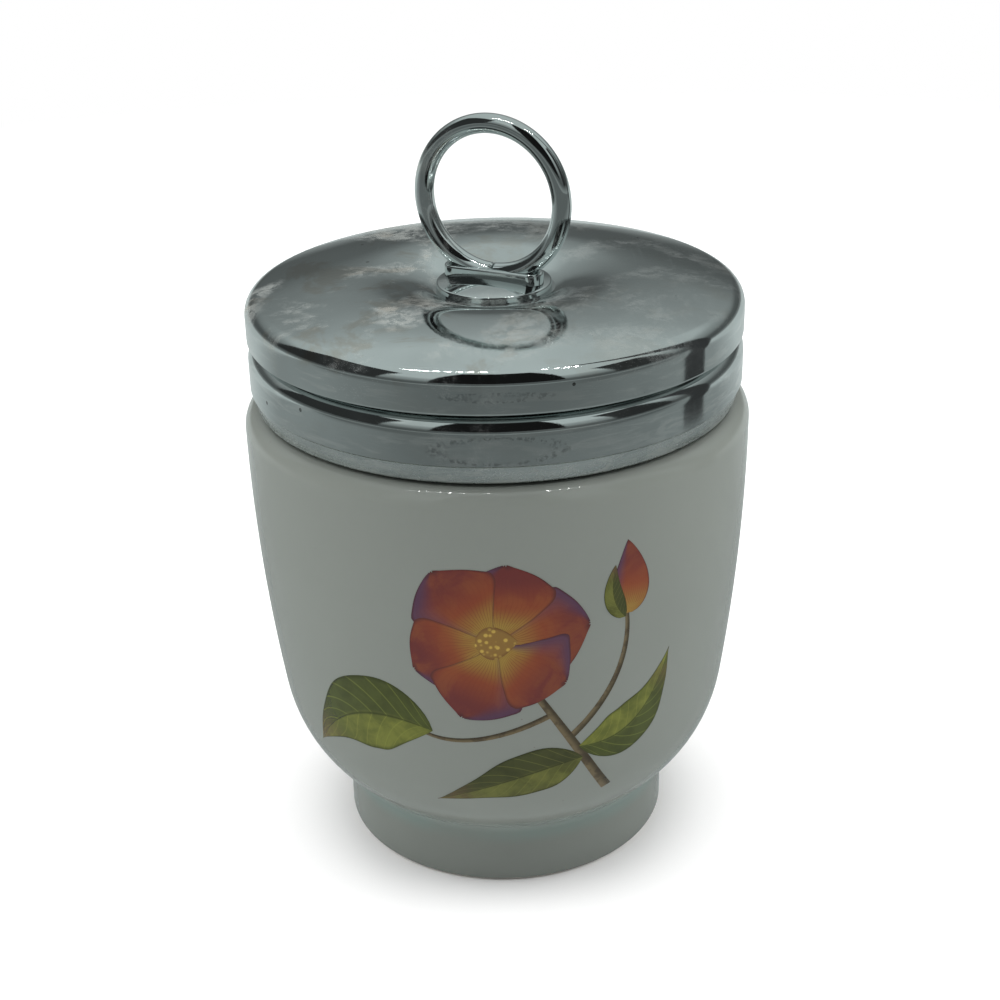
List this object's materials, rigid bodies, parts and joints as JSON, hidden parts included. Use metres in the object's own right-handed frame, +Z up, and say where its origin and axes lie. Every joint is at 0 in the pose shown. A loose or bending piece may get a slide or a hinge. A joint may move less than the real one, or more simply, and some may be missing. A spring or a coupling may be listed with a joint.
{
  "type": "egg coddler",
  "caption": "Small footed porcelain cup with a right-hand screw lid of banded chrome-plated metal, topped by a fixed upright wire ring, for cooking an egg in hot water.",
  "frame": {"origin": "centre of the foot's resting face", "axes": "+Z up along the axis of the cup and lid, -Y out of the decorated front, +X to the right seen from the front"},
  "size_m": [0.062, 0.062, 0.0929],
  "materials": {
    "porcelain": "clear glossy glaze on white porcelain, printed sprig on the front, unglazed foot edge",
    "lid_plate": "chrome plate on pressed metal, mirror bright with light scuffs, small pits and a little tarnish",
    "ring_plate": "chrome plate, polished, brazed joint under the ring",
    "liner_metal": "plain rolled metal, satin",
    "washer_metal": "plain stamped washer, satin"
  },
  "bodies": {
    "cup": {"cup": "porcelain"},
    "lid_carrier": {"backing_washer": "washer_metal"},
    "lid": {"lid_shell": "lid_plate", "thread_liner": "liner_metal", "ring": "ring_plate", "ring_saddle": "ring_plate", "ring_boss": "ring_plate"}
  },
  "joints": [
    {"name": "lid_lift", "type": "slide", "parent": "cup", "child": "lid_carrier", "axis": [0, 0, 1], "range_m": [0, 0.0138]},
    {"name": "lid_twist", "type": "hinge", "parent": "lid_carrier", "child": "lid", "pos_m": [0, 0, 0.0724], "axis": [0, 0, 1], "range_deg": [0, 1080]}
  ],
  "couplings": [
    {"joint": "lid_lift", "follows": "lid_twist", "m_per_rad": 0.00073211}
  ]
}
